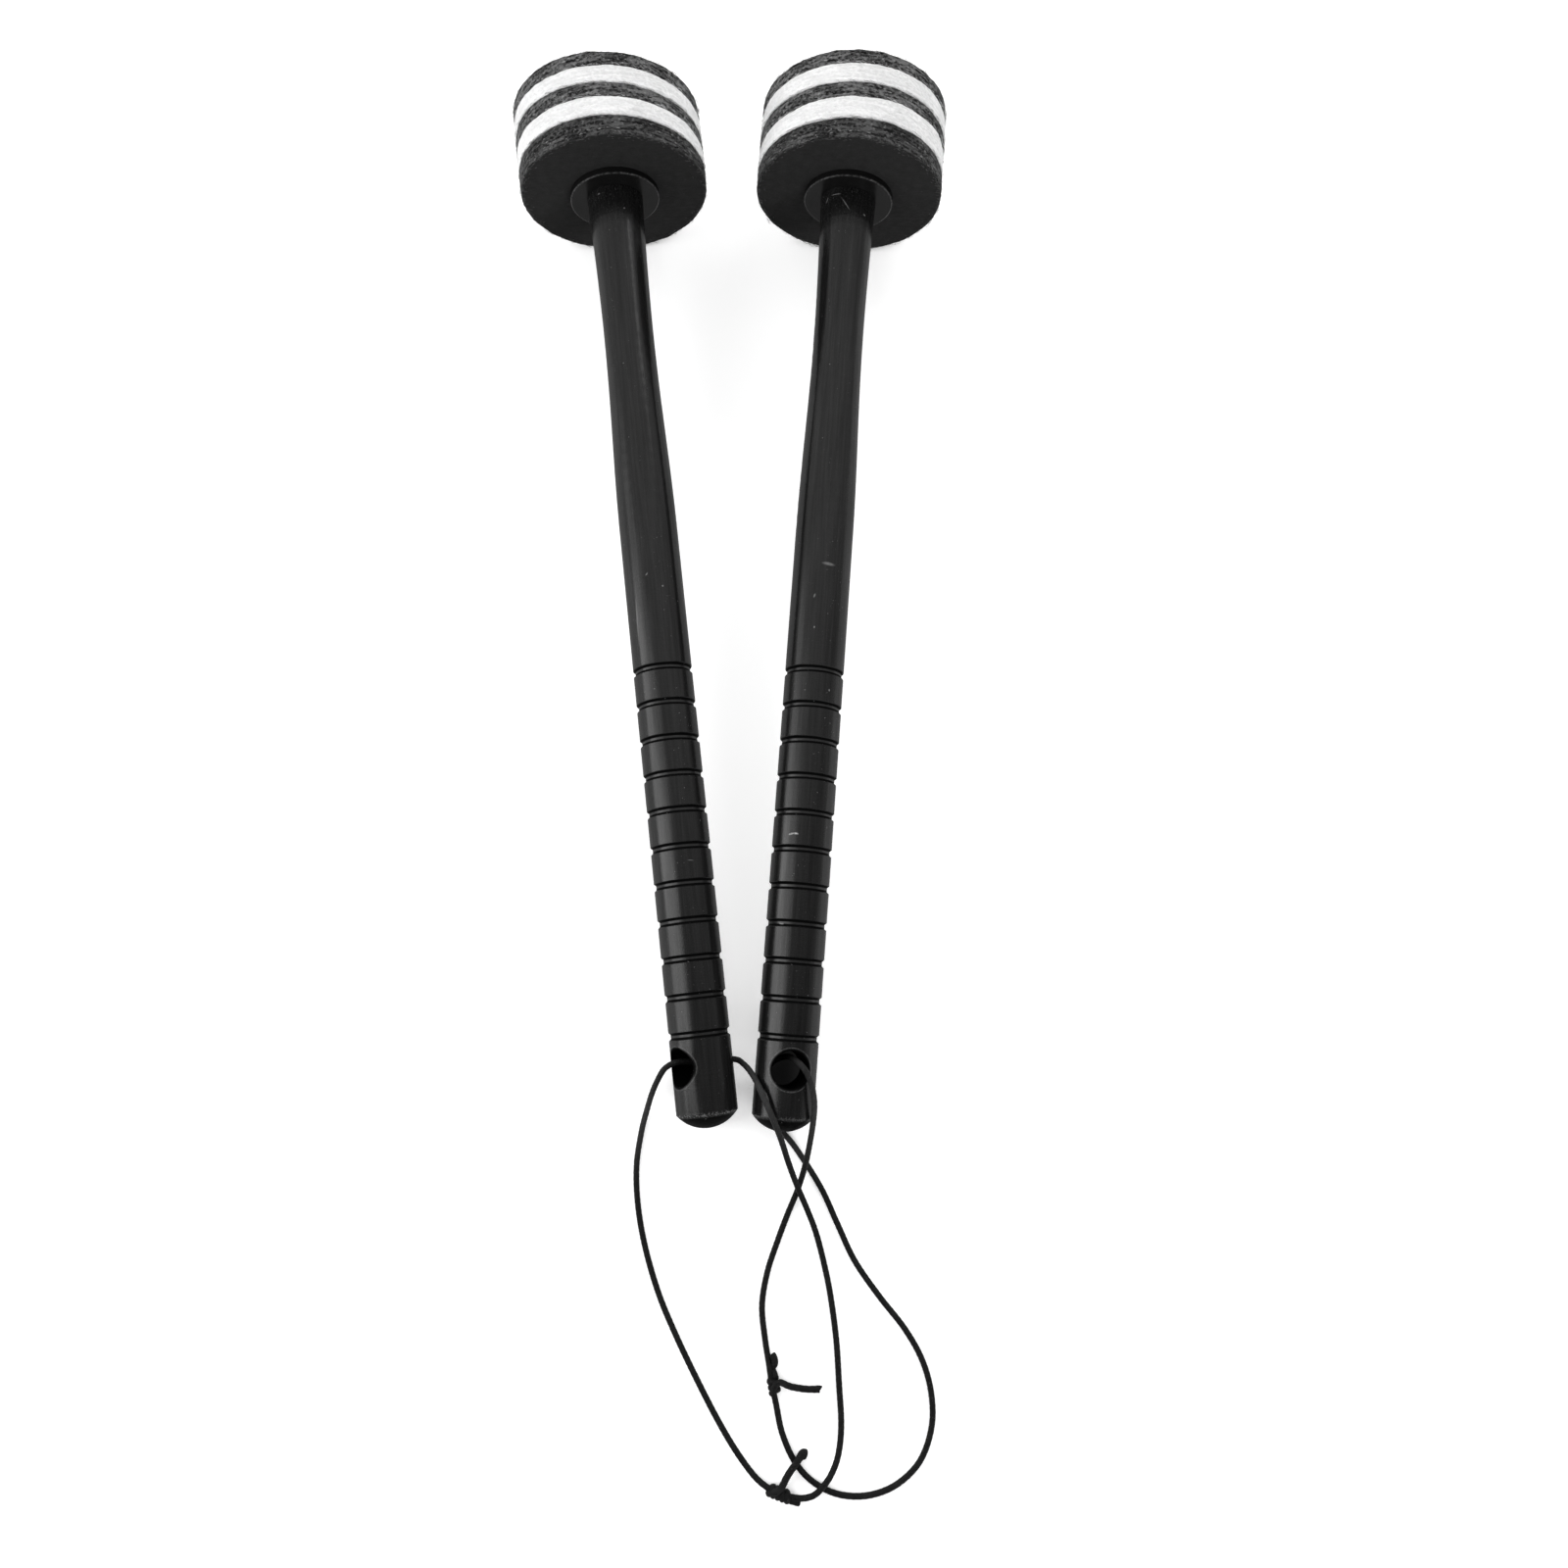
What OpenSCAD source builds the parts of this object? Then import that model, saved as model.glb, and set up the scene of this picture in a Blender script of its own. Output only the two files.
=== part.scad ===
// A pair of focus training sticks: turned plastic handles with layered felt heads and wrist cords.
// They lie side by side on a table, heads at +Y, each resting on its butt and on the rim of its head.

/* [Handle] */
// Diameter of the round bar that a handle is turned from
bar_d = 20; // [17:0.5:26]
// Length from the butt to the shoulder under the head
handle_l = 328.6; // [300:0.1:400]
// Height of the butt's rounded end
butt_dome_h = 5; // [2:0.1:6]
// Diameter of the slim waist
waist_d = 17.6; // [14:0.1:19]
// Length of the plain waist
waist_l = 6; // [2:0.5:20]
// Length of the taper from the grip into the waist
taper_l = 70; // [40:1:90]
// Length of the flare from the waist up to the shoulder
flare_l = 50; // [30:1:70]

/* [Grip] */
// Number of grooves round the grip
groove_count = 11; // [1:1:13]
// Distance from one groove to the next
groove_pitch = 12.15; // [6:0.05:13]
// Distance from the butt to the middle of the first groove
groove_start = 29.9; // [29:0.1:40]
// Width of a groove at the surface
groove_w = 2.6; // [1.6:0.1:3]
// Depth of a groove
groove_depth = 0.7; // [0.2:0.1:1]
// Width of the sloping side of a groove
groove_side_w = 0.6; // [0.1:0.05:0.75]

/* [Cord hole] */
// Diameter of the cross hole for the wrist cord
hole_d = 12; // [9:0.1:13]
// Distance from the butt to the middle of the hole
hole_from_butt = 20; // [18:0.1:20.5]
// Chamfer at each mouth of the hole, measured along the bar's crest
hole_chamfer = 0.8; // [0.2:0.1:1]

/* [Head] */
// Diameter of the felt discs
disc_d = 67; // [50:0.5:90]
// Thickness of the first disc, next to the washer
near_disc_t = 7.8; // [6:0.1:12]
// Thickness of a white disc on the left stick
left_white_disc_t = 6.5; // [5.6:0.1:12]
// Thickness of a white disc on the right stick
right_white_disc_t = 7.5; // [5.6:0.1:12]
// Thickness of the other black discs
black_disc_t = 5.2; // [4:0.1:12]
// Diameter of the backing washer
washer_d = 32.2; // [26:0.1:45]
// Thickness of the backing washer
washer_t = 2.5; // [1.5:0.1:5]
// Radius of the backing washer's outer edge
washer_edge_r = 0.5; // [0.2:0.1:0.7]

/* [Head fixing] */
// Diameter of the tenon that carries the washer and the first three discs
tenon_d = 12; // [10:0.5:15]
// Radial clearance of washer and discs on the tenon
tenon_clearance = 0.1; // [0.05:0.05:0.3]
// How far the tenon stops short of the third disc's outer face, so that the clamp washer grips the felt
tenon_short = 0.3; // [0.1:0.1:0.6]
// Diameter of the clamp washer
clamp_d = 24; // [18:0.5:30]
// Thickness of the clamp washer
clamp_t = 1.6; // [1:0.1:1.8]
// Radial clearance of the clamp washer in the fourth disc
clamp_clearance = 0.4; // [0.2:0.1:0.8]
// Nominal diameter of the head screw
screw_d = 6; // [4:0.5:7]
// Radial clearance of the screw in its holes
screw_clearance = 0.05; // [0.05:0.01:0.2]
// Length of the screw under its head
screw_l = 18; // [10:0.5:18]
// Tapped length left under the screw's tip
tapped_spare = 2; // [1:0.5:4]
// Diameter of the screw's head
screw_head_d = 10.5; // [8:0.5:13]
// Height of the screw's head
screw_head_h = 3.3; // [2:0.1:3.5]
// Width across the flats of the screw's hexagon socket
socket_w = 4; // [2.5:0.5:5]
// Depth of the hexagon socket
socket_depth = 2; // [1:0.1:2.5]

/* [Layout] */
// Angle of each stick to the middle line, in degrees
splay = 5.35; // [2:0.05:12]
// Distance between the two butts' centres
butt_spacing = 23.4; // [21:0.1:60]
// How far the left stick lies ahead of the right one
left_lead = 1.7; // [0:0.1:3]
// Turn of the left cord hole about its stick, from straight up towards +X, in degrees
left_roll = -52; // [-56:1:-48]
// Turn of the right cord hole about its stick, in degrees
right_roll = 9; // [6:1:12]

/* [Wrist cord] */
// Diameter of the wrist cord
cord_d = 2; // [1:0.1:2.2]
// Diameter of a knot at its middle
knot_d = 4.2; // [3.4:0.1:4.4]
// Length of a knot along the cord
knot_l = 7; // [5:0.5:9]

/* [Hidden] */
$fn = 96;

// The discs of a stick from the washer outwards; side is -1 for the left stick and 1 for the right one
function disc_ts(side) =
    let (white_t = side < 0 ? left_white_disc_t : right_white_disc_t)
    [near_disc_t, white_t, black_disc_t, white_t, black_disc_t];
disc_count = 5;
tenon_discs = 3;

black = "#1a1a1b";
white = "#eeede8";
steel = "#9a9c9f";
cord_black = "#262626";

// Where a disc starts, counted from 1, along its stick, and what follows from it
function disc_z(side, number) = number == 1 ? head_z : disc_z(side, number - 1) + disc_ts(side)[number - 2];
function clamp_z(side) = disc_z(side, tenon_discs + 1);
function stick_l(side) = disc_z(side, disc_count + 1);
function tenon_end(side) = clamp_z(side) - tenon_short;

bar_r = bar_d / 2;
butt_dome_r = (bar_r * bar_r + butt_dome_h * butt_dome_h) / (2 * butt_dome_h);
disc_r = disc_d / 2;
head_z = handle_l + washer_t;
tenon_r = tenon_d / 2;
tapped_depth = screw_l - clamp_t + tapped_spare;

// A stick's slope, where the edge of its rounded end and the rim of its head touch the table
lie_angle = atan((disc_r - bar_r) / (head_z - butt_dome_h));
butt_height = bar_r * cos(lie_angle) - butt_dome_h * sin(lie_angle);

// The middle of both sticks along Y, which is the origin
axis_y = cos(splay) * cos(lie_angle);
rim_share = sqrt(1 - axis_y * axis_y);
reach_front = max(left_lead + stick_l(-1) * axis_y, stick_l(1) * axis_y) + disc_r * rim_share;
reach_back = butt_dome_r * (1 - axis_y);
butt_y = (reach_back - reach_front) / 2;

// Cord routes from a point on the middle line, a little ahead of the butts, in round numbers: x, y and height of
// the cord's middle
cord_lead = 1;
cord_start_y = butt_y + cord_lead;
left_route = [
    [-13.6, 21.6, 11.2], [-18.4, 21.6, 12.6], [-22.2, 21.3, 13.4], [-25.6, 19.6, 12.1], [-28, 16.4, 8.8],
    [-30.2, 12.2, 5.3], [-32.2, 6.6, 2.5], [-34.1, -0.5, 1.2], [-35.6, -11, 1], [-35.1, -23, 1],
    [-32.7, -36, 1], [-28.4, -50, 1], [-22.9, -62.6, 1], [-16.6, -75.2, 1], [-10.4, -86.7, 1],
    [-4.9, -95.7, 1], [0.4, -102.8, 1.1], [4.3, -106.3, 1.6], [8.8, -108.6, 2.2], [14.6, -110, 2.4],
    [19, -109.4, 2.9], [22, -107.1, 3.3], [25, -103.5, 2.9], [27.4, -98.2, 1.8], [28.6, -90, 1.1],
    [28.3, -78, 1], [27.8, -65, 1], [26.3, -51.5, 1], [24.3, -41, 1], [22.1, -32.4, 1.5],
    [19.4, -25.2, 3.5], [16.7, -18.8, 6.9], [13.9, -11.2, 11.9], [11.5, -3.6, 17.3], [9.4, 2, 21],
    [7.3, 7, 21.2], [5.2, 12, 19.5], [2.7, 16.9, 15.8], [-0.2, 20.5, 11.4], [-3.7, 22.2, 9]
];
right_route = [
    [11.6, 22.2, 9.2], [14.4, 22.4, 14.6], [17, 20.8, 18.8], [19.6, 17.6, 20.5], [21.4, 13.2, 19.2],
    [22.2, 7.6, 17.3], [21.7, 1.6, 15], [20.7, -4.4, 11.5], [19.5, -10.2, 7.7], [18, -15.4, 4.6],
    [16.2, -20.4, 2.4], [13.4, -26.6, 1.2], [10, -34.7, 1], [6.4, -44.4, 1], [4.5, -54.5, 1],
    [5.5, -64.5, 1.2], [7.1, -71, 1.8], [7.9, -77.4, 2.2], [8.6, -83.4, 1.5], [10.2, -92.1, 1],
    [14.1, -100.4, 1], [19.8, -106.2, 1], [27.6, -109.7, 1], [36.6, -110.1, 1], [45.4, -107.2, 1],
    [52.8, -100.8, 1], [56.8, -91.4, 1], [57.2, -81.6, 1], [54.8, -71.8, 1], [49.7, -62.5, 1],
    [41.8, -52.4, 1], [34.4, -41.6, 1], [29.2, -30.2, 1], [24.2, -19, 1], [16.9, -7.3, 1],
    [12.4, -1.8, 1], [8.2, 1.1, 1], [5.2, 5.4, 1], [6, 15, 1], [8.8, 20.6, 3.4]
];
// Knot tails: the cut end that lies along the cord, and the tail that stands away from it
left_stub = [[8.8, -108.9, 2.4], [11.8, -110.9, 1.9], [15.6, -112, 1.3]];
left_tail = [[8.8, -108.2, 2.7], [10.2, -105.2, 3.3], [12.3, -102.4, 3.4], [14.5, -99.8, 3.3], [16.6, -97.4, 2.4]];
right_stub = [[8.1, -76.4, 2.6], [8.8, -72.6, 2.5], [8, -69, 2.4]];
right_tail = [[8, -77.4, 2.4], [11.6, -77.9, 1.8], [16.7, -78.8, 1.2], [22.4, -79.2, 1]];
cord_sides = 8;
knot_sides = 12;

// A point along the handle between the grip and the waist, as a smooth fall from 0 to 1
function ease(share) = (1 - cos(180 * share)) / 2;

function groove_points(middle) = [
    [bar_r, middle - groove_w / 2],
    [bar_r - groove_depth, middle - groove_w / 2 + groove_side_w],
    [bar_r - groove_depth, middle + groove_w / 2 - groove_side_w],
    [bar_r, middle + groove_w / 2]
];

curve_steps = 14;
dome_steps = 10;
dome_angle = asin(bar_r / butt_dome_r);
flare_power = 1.6;
waist_depth = bar_r - waist_d / 2;
waist_top = handle_l - flare_l;
taper_start = waist_top - waist_l - taper_l;

function handle_outline(side) = concat(
    [for (i = [0 : dome_steps])
        let (angle = dome_angle * i / dome_steps)
        butt_dome_r * [sin(angle), 1 - cos(angle)]],
    [for (i = [0 : groove_count - 1]) each groove_points(groove_start + i * groove_pitch)],
    [for (i = [0 : curve_steps]) [bar_r - waist_depth * ease(i / curve_steps), taper_start + taper_l * i / curve_steps]],
    [for (i = [0 : curve_steps])
        [waist_d / 2 + waist_depth * pow(i / curve_steps, flare_power), waist_top + flare_l * i / curve_steps]],
    [[tenon_r, handle_l], [tenon_r, tenon_end(side)], [0, tenon_end(side)]]
);

// Puts a stick built upwards from its butt into its place on the table
module lay_stick(side) {
    lead = side < 0 ? left_lead : 0;
    translate([side * butt_spacing / 2, butt_y + lead, butt_height])
        rotate([0, 0, -side * splay])
            rotate([lie_angle - 90, 0, 0])
                children();
}

// The cross hole, chamfered at both mouths
module cord_hole(roll) {
    translate([0, 0, hole_from_butt])
        rotate([0, 0, roll])
            rotate([90, 0, 0]) {
                cylinder(d = hole_d, h = 2 * bar_d, center = true);
                for (turn = [0, 180])
                    rotate([0, turn, 0])
                        translate([0, 0, bar_r - hole_chamfer])
                            cylinder(d1 = hole_d, d2 = hole_d + 4 * hole_chamfer, h = 2 * hole_chamfer);
            }
}

module handle(side, roll) {
    color(black)
        lay_stick(side)
            difference() {
                rotate_extrude()
                    polygon(handle_outline(side));
                cord_hole(roll);
                translate([0, 0, tenon_end(side) - tapped_depth])
                    cylinder(d = screw_d + 2 * screw_clearance, h = tapped_depth + 1);
            }
}

module backing_washer(side) {
    edge = washer_edge_r;
    color(black)
        lay_stick(side)
            translate([0, 0, handle_l])
                difference() {
                    rotate_extrude()
                        union() {
                            square([washer_d / 2 - edge, washer_t]);
                            translate([0, edge])
                                square([washer_d / 2, washer_t - edge]);
                            translate([washer_d / 2 - edge, edge])
                                circle(r = edge);
                        }
                    translate([0, 0, -1])
                        cylinder(r = tenon_r + tenon_clearance, h = washer_t + 2);
                }
}

// The first discs sit on the tenon, the next one goes round the clamp washer, and the last one is closed
module felt_disc(side, number) {
    thick = disc_ts(side)[number - 1];
    hole_r = number <= tenon_discs ? tenon_r + tenon_clearance
        : number == tenon_discs + 1 ? clamp_d / 2 + clamp_clearance : 0;
    color(number % 2 == 1 ? black : white)
        lay_stick(side)
            translate([0, 0, disc_z(side, number)])
                difference() {
                    cylinder(r = disc_r, h = thick);
                    if (hole_r > 0)
                        translate([0, 0, -1])
                            cylinder(r = hole_r, h = thick + 2);
                }
}

module clamp_washer(side) {
    color(steel)
        lay_stick(side)
            translate([0, 0, clamp_z(side)])
                difference() {
                    cylinder(d = clamp_d, h = clamp_t);
                    translate([0, 0, -1])
                        cylinder(d = screw_d + 2 * screw_clearance, h = clamp_t + 2);
                }
}

module head_screw(side) {
    color(steel)
        lay_stick(side)
            translate([0, 0, clamp_z(side) + clamp_t])
                difference() {
                    union() {
                        translate([0, 0, -screw_l])
                            cylinder(d = screw_d, h = screw_l);
                        cylinder(d = screw_head_d, h = screw_head_h);
                    }
                    translate([0, 0, screw_head_h - socket_depth])
                        cylinder(d = socket_w / cos(30), h = socket_depth + 1, $fn = 6);
                }
}

function unit(v) = v / norm(v);

// The direction of a route at one of its points; the ends of an open route take their only neighbour
function heading(route, i, closed) =
    let (last = len(route) - 1)
    let (before = i > 0 ? i - 1 : closed ? last : 0)
    let (after = i < last ? i + 1 : closed ? 0 : last)
    unit(route[after] - route[before]);

// A ring of points round a route's point, square to its heading, with its first spoke as level as it can be
function ring(route, i, closed) =
    let (ahead = heading(route, i, closed))
    let (level = unit(cross(ahead, abs(ahead[2]) < 0.95 ? [0, 0, 1] : [1, 0, 0])))
    let (rise = cross(level, ahead))
    [for (k = [0 : cord_sides - 1])
        let (angle = 360 * (k + 0.5) / cord_sides)
        route[i] + cord_d / 2 * (cos(angle) * level + sin(angle) * rise)];

// One tube along a route: closed into a ring, or open with capped ends
module cord_tube(route, closed) {
    count = len(route);
    spans = closed ? count : count - 1;
    points = [for (i = [0 : count - 1]) each ring(route, i, closed)];
    sides = [for (i = [0 : spans - 1], k = [0 : cord_sides - 1])
        let (here = i * cord_sides)
        let (next = (i + 1) % count * cord_sides)
        let (turn = (k + 1) % cord_sides)
        each [[here + k, here + turn, next + turn], [here + k, next + turn, next + k]]];
    first_cap = [for (k = [cord_sides - 1 : -1 : 0]) k];
    last_cap = [for (k = [0 : cord_sides - 1]) (count - 1) * cord_sides + k];
    polyhedron(points, closed ? sides : concat(sides, [first_cap, last_cap]));
}

module wrist_cord(route) {
    color(cord_black)
        translate([0, cord_start_y, 0])
            cord_tube(route, true);
}

// A knot: a barrel drawn round the cord at one of its points, with its two tails
module cord_knot(route, index, stub, tail) {
    ahead = heading(route, index, true);
    lens_r = (knot_l * knot_l + knot_d * knot_d) / (4 * knot_d);
    color(cord_black)
        translate([0, cord_start_y, 0])
            union() {
                translate(route[index])
                    rotate([0, acos(ahead[2]), atan2(ahead[1], ahead[0])])
                        rotate_extrude($fn = knot_sides)
                            intersection() {
                                translate([knot_d / 2 - lens_r, 0])
                                    circle(r = lens_r, $fn = 4 * knot_sides);
                                translate([0, -knot_l])
                                    square([knot_d, 2 * knot_l]);
                            }
                cord_tube(stub, false);
                cord_tube(tail, false);
            }
}

left_knot_index = 18;
right_knot_index = 17;

handle(1, right_roll);  // right_handle
backing_washer(1);  // right_backing_washer
felt_disc(1, 1);  // right_felt_disc_1
felt_disc(1, 2);  // right_felt_disc_2
felt_disc(1, 3);  // right_felt_disc_3
felt_disc(1, 4);  // right_felt_disc_4
felt_disc(1, 5);  // right_felt_disc_5
clamp_washer(1);  // right_clamp_washer
head_screw(1);  // right_head_screw
wrist_cord(right_route);  // right_wrist_cord
cord_knot(right_route, right_knot_index, right_stub, right_tail);  // right_cord_knot
handle(-1, left_roll);  // left_handle
backing_washer(-1);  // left_backing_washer
felt_disc(-1, 1);  // left_felt_disc_1
felt_disc(-1, 2);  // left_felt_disc_2
felt_disc(-1, 3);  // left_felt_disc_3
felt_disc(-1, 4);  // left_felt_disc_4
felt_disc(-1, 5);  // left_felt_disc_5
clamp_washer(-1);  // left_clamp_washer
head_screw(-1);  // left_head_screw
wrist_cord(left_route);  // left_wrist_cord
cord_knot(left_route, left_knot_index, left_stub, left_tail);  // left_cord_knot
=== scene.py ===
"""The looks of the focus training sticks: turned handles, layered felt heads and wrist cords."""

import math
import random

import bpy
from mathutils import Matrix, Vector, noise


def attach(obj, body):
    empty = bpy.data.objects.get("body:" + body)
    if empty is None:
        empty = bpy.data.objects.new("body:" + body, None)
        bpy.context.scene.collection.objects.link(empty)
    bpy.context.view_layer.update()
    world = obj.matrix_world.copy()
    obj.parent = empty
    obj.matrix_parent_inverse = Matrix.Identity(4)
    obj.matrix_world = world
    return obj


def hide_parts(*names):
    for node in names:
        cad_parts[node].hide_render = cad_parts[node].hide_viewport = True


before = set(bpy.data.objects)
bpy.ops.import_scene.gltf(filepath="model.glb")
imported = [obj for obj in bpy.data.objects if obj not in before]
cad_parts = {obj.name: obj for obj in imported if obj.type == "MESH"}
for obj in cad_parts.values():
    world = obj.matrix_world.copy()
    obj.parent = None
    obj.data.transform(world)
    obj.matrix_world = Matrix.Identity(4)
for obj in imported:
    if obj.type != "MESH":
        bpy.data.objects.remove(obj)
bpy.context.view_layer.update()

MM = 0.001
scene = bpy.context.scene
scene.view_settings.view_transform = "Standard"

# Sizes of the sticks, in millimetres, as in the part's source
BAR_R = 10
HANDLE_L = 328.6
BUTT_DOME_H = 5
WASHER_R = 16.1
WASHER_T = 2.5
DISC_R = 33.5
NEAR_DISC_T = 7.8
LEFT_WHITE_DISC_T = 6.5
RIGHT_WHITE_DISC_T = 7.5
BLACK_DISC_T = 5.2
DISC_COUNT = 5
TENON_HOLE_R = 6.1
CLAMP_HOLE_R = 12.4
SPLAY = math.radians(5.35)
BUTT_SPACING = 23.4
LEFT_LEAD = 1.7
GROOVE_START = 29.9
GROOVE_PITCH = 12.15
GROOVE_COUNT = 11
HOLE_FROM_BUTT = 20
HOLE_R = 6
HOLE_CHAMFER = 0.8
LEFT_ROLL = math.radians(-52)
RIGHT_ROLL = math.radians(9)
CORD_D = 2
CORD_LEAD = 1

BUTT_DOME_R = (BAR_R ** 2 + BUTT_DOME_H ** 2) / (2 * BUTT_DOME_H)
GRIP_END = GROOVE_START + (GROOVE_COUNT - 1) * GROOVE_PITCH
HEAD_T = HANDLE_L + WASHER_T
BLACK_DISCS_T = NEAR_DISC_T + 2 * BLACK_DISC_T
LEFT_L = HEAD_T + BLACK_DISCS_T + 2 * LEFT_WHITE_DISC_T
RIGHT_L = HEAD_T + BLACK_DISCS_T + 2 * RIGHT_WHITE_DISC_T
LIE_ANGLE = math.atan((DISC_R - BAR_R) / (HEAD_T - BUTT_DOME_H))
BUTT_HEIGHT = BAR_R * math.cos(LIE_ANGLE) - BUTT_DOME_H * math.sin(LIE_ANGLE)
AXIS_Y = math.cos(SPLAY) * math.cos(LIE_ANGLE)
RIM_SHARE = math.sqrt(1 - AXIS_Y * AXIS_Y)
REACH_FRONT = max(LEFT_LEAD + LEFT_L * AXIS_Y, RIGHT_L * AXIS_Y) + DISC_R * RIM_SHARE
REACH_BACK = BUTT_DOME_R * (1 - AXIS_Y)
BUTT_Y = (REACH_BACK - REACH_FRONT) / 2
CORD_START = Vector((0, BUTT_Y + CORD_LEAD, 0))


class Stick:
    """Where one stick lies: its butt's tip and three directions, along it, across it and up from it."""

    def __init__(self, name, side, roll, white_t):
        self.name = name
        self.roll = roll
        self.disc_ts = [NEAR_DISC_T, white_t, BLACK_DISC_T, white_t, BLACK_DISC_T]
        self.body = name + "_stick"
        lead = LEFT_LEAD if side < 0 else 0
        self.butt = Vector((side * BUTT_SPACING / 2, BUTT_Y + lead, BUTT_HEIGHT))
        flat = math.cos(LIE_ANGLE)
        self.along = Vector((side * math.sin(SPLAY) * flat, math.cos(SPLAY) * flat, math.sin(LIE_ANGLE)))
        self.across = Vector((math.cos(SPLAY), -side * math.sin(SPLAY), 0))
        self.up = self.across.cross(self.along)

    def place(self, across, up, along):
        """A point in metres, on or above the table, from millimetres across, up from and along the stick."""
        point = (self.butt + self.across * across + self.up * up + self.along * along) * MM
        point.z = max(point.z, 0)
        return point


RIGHT = Stick("right", 1, RIGHT_ROLL, RIGHT_WHITE_DISC_T)
LEFT = Stick("left", -1, LEFT_ROLL, LEFT_WHITE_DISC_T)
STICKS = [RIGHT, LEFT]


# Small tools for meshes and materials
def add_mesh(name, points, faces, body, materials):
    """A smooth piece that rides on a body and takes the materials given."""
    mesh = bpy.data.meshes.new(name)
    mesh.from_pydata(points, [], faces)
    mesh.polygons.foreach_set("use_smooth", [True] * len(mesh.polygons))
    piece = bpy.data.objects.new(name, mesh)
    scene.collection.objects.link(piece)
    for material in materials:
        mesh.materials.append(material)
    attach(piece, body)
    return piece


def store_places(piece, name, places):
    """Give every point of a piece a flat place that its material can read."""
    layer = piece.data.uv_layers.new(name=name)
    for loop in piece.data.loops:
        layer.data[loop.index].uv = places[loop.vertex_index]


# The span that most of a noise's levels lie in
NOISE_LOW = 0.3
NOISE_HIGH = 0.7


class Nodes:
    """A node tree under construction: adds nodes and links them by name."""

    def __init__(self, tree, main):
        self.nodes = tree.nodes
        self.links = tree.links
        self.main = tree.nodes[main]

    def add(self, kind, inputs=None, **settings):
        node = self.nodes.new(kind)
        for name, value in settings.items():
            setattr(node, name, value)
        for name, value in (inputs or {}).items():
            self.give(node.inputs[name], value)
        return node

    def give(self, socket, value):
        if isinstance(value, bpy.types.NodeSocket):
            self.links.new(value, socket)
        else:
            socket.default_value = value

    def math(self, operation, first, second=0.0):
        node = self.add("ShaderNodeMath", operation=operation)
        self.give(node.inputs[0], first)
        self.give(node.inputs[1], second)
        return node.outputs[0]

    def join(self, operation, *values):
        """The values joined by one operation, each to the result of those before it."""
        joined = values[0]
        for value in values[1:]:
            joined = self.math(operation, joined, value)
        return joined

    def product(self, *values):
        return self.join("MULTIPLY", *values)

    def largest(self, *values):
        return self.join("MAXIMUM", *values)

    def blend(self, first, second, share):
        """A share of the second number and the rest of the first."""
        return self.math("ADD", self.product(first, 1 - share), self.product(second, share))

    def hypotenuse(self, first, second):
        squares = [self.math("POWER", side, 2.0) for side in (first, second)]
        return self.math("SQRT", self.math("ADD", *squares))

    def between(self, value, low, high, to_low=0.0, to_high=1.0):
        """Value carried from low..high to to_low..to_high, held at the ends."""
        inputs = {"Value": value, "From Min": low, "From Max": high, "To Min": to_low, "To Max": to_high}
        return self.add("ShaderNodeMapRange", inputs, clamp=True).outputs["Result"]

    def vary(self, level, least=0.0, most=1.0):
        """A noise's level carried to least..most."""
        return self.between(level, NOISE_LOW, NOISE_HIGH, least, most)

    def ring(self, value, middle, half_width):
        """1 where value is at middle, falling to 0 a half width away."""
        away = self.math("ABSOLUTE", self.math("SUBTRACT", value, middle))
        return self.between(away, 0.0, half_width, 1.0, 0.0)

    def noise(self, place, fineness, detail=2.0, roughness=0.5):
        """Noise of one fineness, or of three, one for each direction."""
        if isinstance(fineness, tuple):
            stretched = self.add("ShaderNodeVectorMath", operation="MULTIPLY")
            self.give(stretched.inputs[0], place)
            stretched.inputs[1].default_value = fineness
            place = stretched.outputs["Vector"]
            fineness = 1.0
        inputs = {"Vector": place, "Scale": fineness, "Detail": detail, "Roughness": roughness}
        return self.add("ShaderNodeTexNoise", inputs).outputs["Fac"]

    def patch(self, place, middle, half_size, turn):
        """1 inside a soft ellipsoid at a place, 0 outside it."""
        full_within = 0.4
        inputs = {"Vector": place, "Location": middle, "Rotation": (0, turn, 0), "Scale": half_size}
        mapped = self.add("ShaderNodeMapping", inputs, vector_type="TEXTURE").outputs["Vector"]
        length = self.add("ShaderNodeVectorMath", operation="LENGTH")
        self.give(length.inputs[0], mapped)
        return self.between(length.outputs["Value"], full_within, 1.0, 1.0, 0.0)

    def seen_rays(self):
        """1 for rays from the camera, from mirrors and through glass, 0 for the light on other surfaces."""
        path = self.add("ShaderNodeLightPath").outputs
        return self.largest(path["Is Camera Ray"], path["Is Glossy Ray"], path["Is Transmission Ray"])

    def mix(self, share, first, second):
        node = self.add("ShaderNodeMix", data_type="RGBA")
        self.give(node.inputs["Factor"], share)
        self.give(node.inputs["A"], first)
        self.give(node.inputs["B"], second)
        return node.outputs["Result"]

    def bump(self, height, strength, distance, below=None):
        inputs = {"Height": height, "Strength": strength, "Distance": distance}
        node = self.add("ShaderNodeBump", inputs)
        if below is not None:
            self.give(node.inputs["Normal"], below)
        return node.outputs["Normal"]

    def set(self, **values):
        for name, value in values.items():
            self.give(self.main.inputs[name.replace("_", " ")], value)


class Shader(Nodes):
    """A material under construction."""

    def __init__(self, name):
        self.material = bpy.data.materials.new(name)
        self.material.use_nodes = True
        super().__init__(self.material.node_tree, "Principled BSDF")


def grey(level):
    return (level, level, level, 1)


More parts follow.
